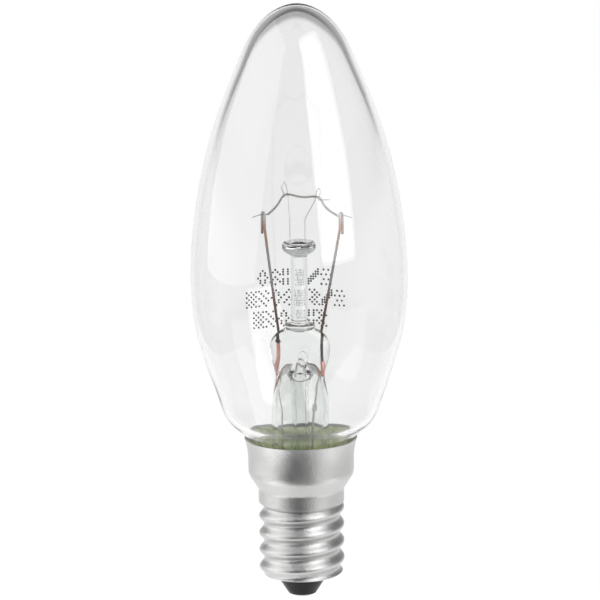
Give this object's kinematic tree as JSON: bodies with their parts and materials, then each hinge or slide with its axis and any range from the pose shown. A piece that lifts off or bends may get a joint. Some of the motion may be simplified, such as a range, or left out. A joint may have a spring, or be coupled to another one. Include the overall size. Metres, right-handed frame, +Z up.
{
  "type": "candle lamp bulb",
  "caption": "Clear candle-shaped incandescent lamp with a glass stem, filament on wire supports and an E14 screw cap.",
  "frame": {"origin": "middle of the end contact's flat face, at the bottom of the lamp", "axes": "+Z up the lamp's axis from the end contact to the tip of the bulb; the inner leads and the filament lie along X; the stem's exhaust hole looks along -Y"},
  "size_m": [0.035, 0.035, 0.0975],
  "materials": {
    "clear_glass": "clear, smooth",
    "stem_glass": "clear, smooth, faint green at its edges",
    "tungsten": "dull",
    "nickel_wire": "satin",
    "molybdenum_wire": "satin",
    "copper_seal_wire": "satin",
    "tinned_wire": "satin",
    "cement": "matte, fine grained",
    "cap_aluminium": "satin, as rolled",
    "black_glass": "glossy",
    "plated_brass": "satin",
    "solder": "satin, slightly rippled"
  },
  "bodies": {
    "root": {"glass_envelope": "clear_glass", "stem_flare": "stem_glass", "support_rod": "stem_glass", "exhaust_tube": "stem_glass", "filament": "tungsten", "inner_lead_left": "nickel_wire", "inner_lead_right": "nickel_wire", "support_wire_left": "molybdenum_wire", "support_wire_right": "molybdenum_wire", "seal_wire_left": "copper_seal_wire", "seal_wire_right": "copper_seal_wire", "shell_lead": "tinned_wire", "fuse_wire": "tinned_wire", "contact_lead": "tinned_wire", "capping_cement": "cement", "cap_shell": "cap_aluminium", "cap_insulator": "black_glass", "contact_plate": "plated_brass", "centre_solder": "solder", "side_solder": "solder"}
  },
  "joints": []
}
